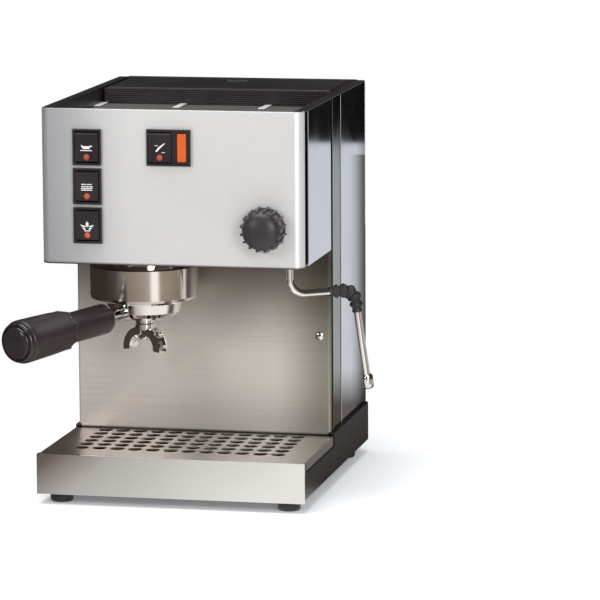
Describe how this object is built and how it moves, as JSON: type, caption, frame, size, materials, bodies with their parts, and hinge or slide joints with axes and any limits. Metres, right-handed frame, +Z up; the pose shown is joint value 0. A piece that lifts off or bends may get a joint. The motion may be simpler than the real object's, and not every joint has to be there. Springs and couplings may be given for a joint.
{
  "type": "espresso machine",
  "caption": "Boxy steel espresso machine: head over a drip tray, lockable portafilter with twin spout, swivelling steam wand, lift-out water tank.",
  "frame": {"origin": "on the counter, midway between the base's sides and between its front and back", "axes": "+Z up, -Y towards the user in front, +X to the user's right"},
  "size_m": [0.2844, 0.3861, 0.34],
  "materials": {
    "polished_steel": "mirror-polished stainless sheet",
    "soft_steel": "fine satin stainless sheet",
    "grained_steel": "horizontally grained stainless sheet",
    "black_paint": "semi-gloss black enamel",
    "black_plastic": "moulded black plastic, satin",
    "gloss_black": "glossy black plastic",
    "satin_chrome": "satin chrome on brass",
    "bright_chrome": "bright chrome",
    "brass": "turned brass",
    "copper": "drawn copper tube",
    "black_rubber": "moulded rubber",
    "amber_lens": "moulded orange lens",
    "lamp_lens": "moulded red-brown lens",
    "clear_plastic": "clear moulded plastic",
    "silicone": "translucent silicone hose",
    "heater_steel": "drawn steel sheath",
    "machined_steel": "machined steel",
    "ceramic": "off-white ceramic",
    "dark_coil": "wound coil in dark resin"
  },
  "bodies": {
    "root": {"base_frame": "black_paint", "rubber_feet": "black_rubber", "splash_panel": "grained_steel", "panel_screws": "bright_chrome", "front_panel": "soft_steel", "head_floor": "black_paint", "inner_frame": "black_paint", "left_head_side": "polished_steel", "right_head_side": "polished_steel", "corner_posts": "soft_steel", "left_side_panel": "polished_steel", "right_side_panel": "polished_steel", "rear_panel": "soft_steel", "cord_gland": "black_plastic", "top_rails": "black_paint", "cup_tray": "polished_steel", "lid_surround": "black_plastic", "tank_seat": "black_plastic", "suction_hose": "silicone", "group_body": "satin_chrome", "group_gasket": "black_rubber", "shower_plate": "brass", "shower_screen": "machined_steel", "screen_screw": "machined_steel", "steam_valve": "brass", "wand_nut": "bright_chrome", "switch_housings": "gloss_black", "power_switch_housing": "gloss_black", "heating_lamp": "amber_lens", "boiler": "brass", "heating_element": "heater_steel", "boiler_bolts": "machined_steel", "thermostats": "ceramic", "pump": "dark_coil", "solenoid_valve": "dark_coil", "drain_pipe": "copper", "copper_pipes": "copper"},
    "drip_tray": {"drip_tray": "polished_steel"},
    "drip_grate": {"drip_grate": "polished_steel"},
    "water_tank": {"water_tank": "clear_plastic"},
    "tank_lid": {"tank_lid": "gloss_black"},
    "portafilter": {"portafilter_body": "bright_chrome", "portafilter_handle": "black_plastic", "handle_cap": "black_plastic", "filter_basket": "polished_steel", "basket_spring": "machined_steel", "twin_spout": "bright_chrome"},
    "steam_knob": {"steam_knob": "gloss_black", "valve_stem": "machined_steel"},
    "steam_wand": {"steam_wand": "bright_chrome", "wand_grip": "black_rubber", "wand_nozzle": "bright_chrome"},
    "brew_rocker": {"brew_rocker": "gloss_black", "brew_lamp": "lamp_lens"},
    "hot_water_rocker": {"hot_water_rocker": "gloss_black", "hot_water_lamp": "lamp_lens"},
    "steam_rocker": {"steam_rocker": "gloss_black", "steam_lamp": "lamp_lens"},
    "power_rocker": {"power_rocker": "gloss_black", "power_lamp": "lamp_lens"}
  },
  "joints": [
    {"name": "tray_slide", "type": "slide", "parent": "root", "child": "drip_tray", "axis": [0, -1, 0], "range_m": [0, 0.115]},
    {"name": "grate_lift", "type": "slide", "parent": "drip_tray", "child": "drip_grate", "axis": [0, 0, 1], "range_m": [0, 0.03]},
    {"name": "tank_lift", "type": "slide", "parent": "root", "child": "water_tank", "axis": [0, 0, 1], "range_m": [0, 0.19]},
    {"name": "lid_lift", "type": "slide", "parent": "water_tank", "child": "tank_lid", "axis": [0, 0, 1], "range_m": [0, 0.03]},
    {"name": "portafilter_turn", "type": "hinge", "parent": "root", "child": "portafilter", "pos_m": [-0.039, -0.072, 0.1706], "axis": [0, 0, 1], "range_deg": [-50, 0]},
    {"name": "steam_knob_turn", "type": "hinge", "parent": "root", "child": "steam_knob", "pos_m": [0.0815, -0.1316, 0.2414], "axis": [0, -1, 0], "range_deg": [0, 300]},
    {"name": "wand_swivel", "type": "hinge", "parent": "root", "child": "steam_wand", "pos_m": [0.0951, -0.098, 0.207], "axis": [0, 0, 1], "range_deg": [-125, 20]},
    {"name": "brew_rock", "type": "hinge", "parent": "root", "child": "brew_rocker", "pos_m": [-0.0723, -0.131, 0.3076], "axis": [1, 0, 0], "range_deg": [0, 12]},
    {"name": "hot_water_rock", "type": "hinge", "parent": "root", "child": "hot_water_rocker", "pos_m": [-0.0723, -0.131, 0.2742], "axis": [1, 0, 0], "range_deg": [0, 12]},
    {"name": "steam_rock", "type": "hinge", "parent": "root", "child": "steam_rocker", "pos_m": [-0.0723, -0.131, 0.2408], "axis": [1, 0, 0], "range_deg": [0, 12]},
    {"name": "power_rock", "type": "hinge", "parent": "root", "child": "power_rocker", "pos_m": [-0.0084, -0.131, 0.3084], "axis": [1, 0, 0], "range_deg": [0, 12]}
  ]
}
